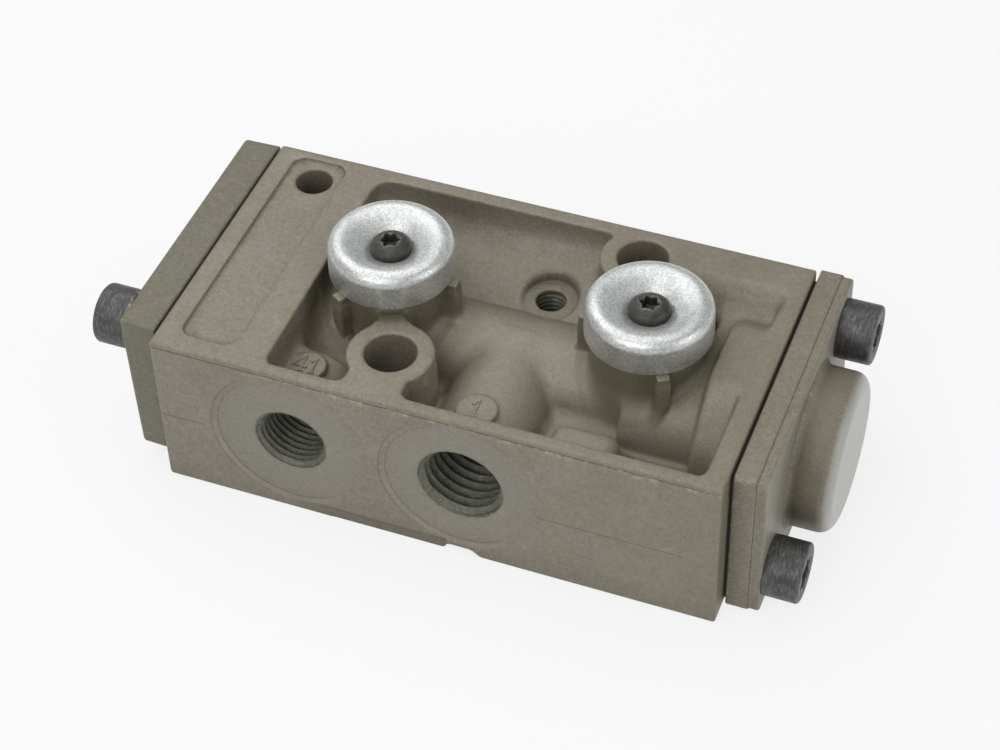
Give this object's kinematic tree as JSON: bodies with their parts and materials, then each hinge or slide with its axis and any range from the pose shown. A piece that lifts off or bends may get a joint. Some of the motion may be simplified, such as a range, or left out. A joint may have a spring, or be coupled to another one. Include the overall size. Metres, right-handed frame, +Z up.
{
  "type": "pilot operated spool valve",
  "caption": "Five-way two-position air valve: cast rectangular body with front ports, open top pocket, two cup-covered exhausts and bolted end covers.",
  "frame": {"origin": "centre of the body's mounting face, underneath", "axes": "+X along the spool towards the spring cover, -Y out of the port face, +Z up out of the top pocket"},
  "size_m": [0.1015, 0.0448, 0.0323],
  "materials": {
    "cast_body": "blasted and passivated casting",
    "cast_cover": "blasted and passivated casting",
    "zinc": "galvanised, fine spangle",
    "black_oxide": "black oxide, satin",
    "rubber": "matt",
    "turned_alloy": "ground and anodised",
    "spacer_plastic": "moulded",
    "spring_steel": "drawn wire and sheet"
  },
  "bodies": {
    "housing": {"valve_body": "cast_body", "left_end_cover": "cast_cover", "right_end_cover": "cast_cover", "left_cover_gasket": "rubber", "right_cover_gasket": "rubber", "left_cover_screws": "black_oxide", "right_cover_screws": "black_oxide", "exhaust_cup_left": "zinc", "exhaust_cup_right": "zinc", "exhaust_flap_left": "rubber", "exhaust_flap_right": "rubber", "exhaust_screw_left": "black_oxide", "exhaust_screw_right": "black_oxide", "outlet_seal_left": "rubber", "outlet_seal_right": "rubber", "retaining_washer": "spring_steel", "snap_ring": "spring_steel", "return_spring": "spring_steel", "seal_ring_1": "rubber", "seal_ring_2": "rubber", "seal_ring_3": "rubber", "seal_ring_4": "rubber", "seal_ring_5": "rubber", "seal_ring_6": "rubber", "port_spacer_1": "spacer_plastic", "port_spacer_2": "spacer_plastic", "port_spacer_3": "spacer_plastic", "port_spacer_4": "spacer_plastic", "port_spacer_5": "spacer_plastic"},
    "spool_set": {"spool": "turned_alloy", "pilot_piston": "turned_alloy", "piston_seal": "rubber", "spring_seat": "turned_alloy"}
  },
  "joints": [
    {"name": "spool_slide", "type": "slide", "parent": "housing", "child": "spool_set", "axis": [1, 0, 0], "range_m": [0, 0.0046], "stiffness_N_per_m": 2000, "springref_m": -0.006, "deforming": ["return_spring"]}
  ]
}
